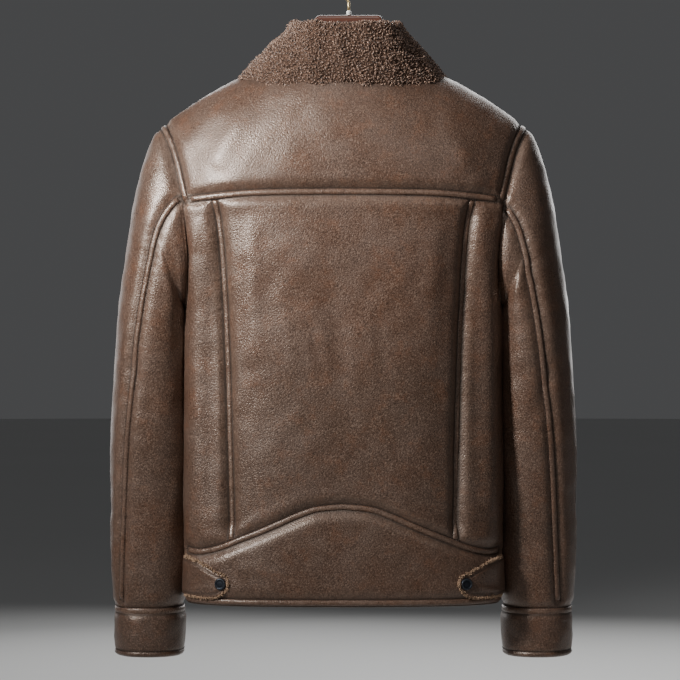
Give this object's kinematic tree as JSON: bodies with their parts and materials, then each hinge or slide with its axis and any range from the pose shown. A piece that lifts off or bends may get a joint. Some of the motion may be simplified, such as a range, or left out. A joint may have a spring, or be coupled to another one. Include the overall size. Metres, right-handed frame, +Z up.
{
  "type": "leather jacket on a hanger",
  "caption": "Hip-length leather jacket with a curly-pile collar, yoke, panelled back, hem tabs and two-piece sleeves, hung empty on a wooden hanger.",
  "frame": {"origin": "the inside top of the hanger's hook, where it rests on a rail", "axes": "+Z up, +Y towards the jacket's back, +X towards the wearer's left"},
  "size_m": [0.6138, 0.2307, 0.9054],
  "materials": {
    "leather": "worn, semi-gloss, brown",
    "leather_trim": "worn lighter along its top",
    "curly_pile": "matt curly pile, tan",
    "gunmetal": "dark, satin",
    "lacquered_wood": "red-brown lacquer",
    "brass": "bright wire"
  },
  "bodies": {
    "root": {"back_band": "leather", "back_centre": "leather", "back_side_left": "leather", "back_side_right": "leather", "back_yoke": "leather", "collar": "curly_pile", "cuff_left": "leather", "cuff_right": "leather", "front_left": "leather", "front_placket": "leather", "front_right": "leather", "front_stud_1": "gunmetal", "front_stud_2": "gunmetal", "front_stud_3": "gunmetal", "front_stud_4": "gunmetal", "front_stud_5": "gunmetal", "front_stud_6": "gunmetal", "hanger": "lacquered_wood", "hanger_hook": "brass", "hem_tab_left": "leather", "hem_tab_right": "leather", "strip_armhole_left": "leather_trim", "strip_armhole_right": "leather_trim", "strip_band": "leather_trim", "strip_cuff_left": "leather_trim", "strip_cuff_right": "leather_trim", "strip_hem_back": "leather_trim", "strip_hem_left": "leather_trim", "strip_hem_right": "leather_trim", "strip_panel_left": "leather_trim", "strip_panel_right": "leather_trim", "strip_sleeve_left": "leather_trim", "strip_sleeve_right": "leather_trim", "strip_yoke": "leather_trim", "tab_stud_left": "gunmetal", "tab_stud_right": "gunmetal", "top_sleeve_left": "leather", "top_sleeve_right": "leather", "under_sleeve_left": "leather", "under_sleeve_right": "leather"}
  },
  "joints": []
}
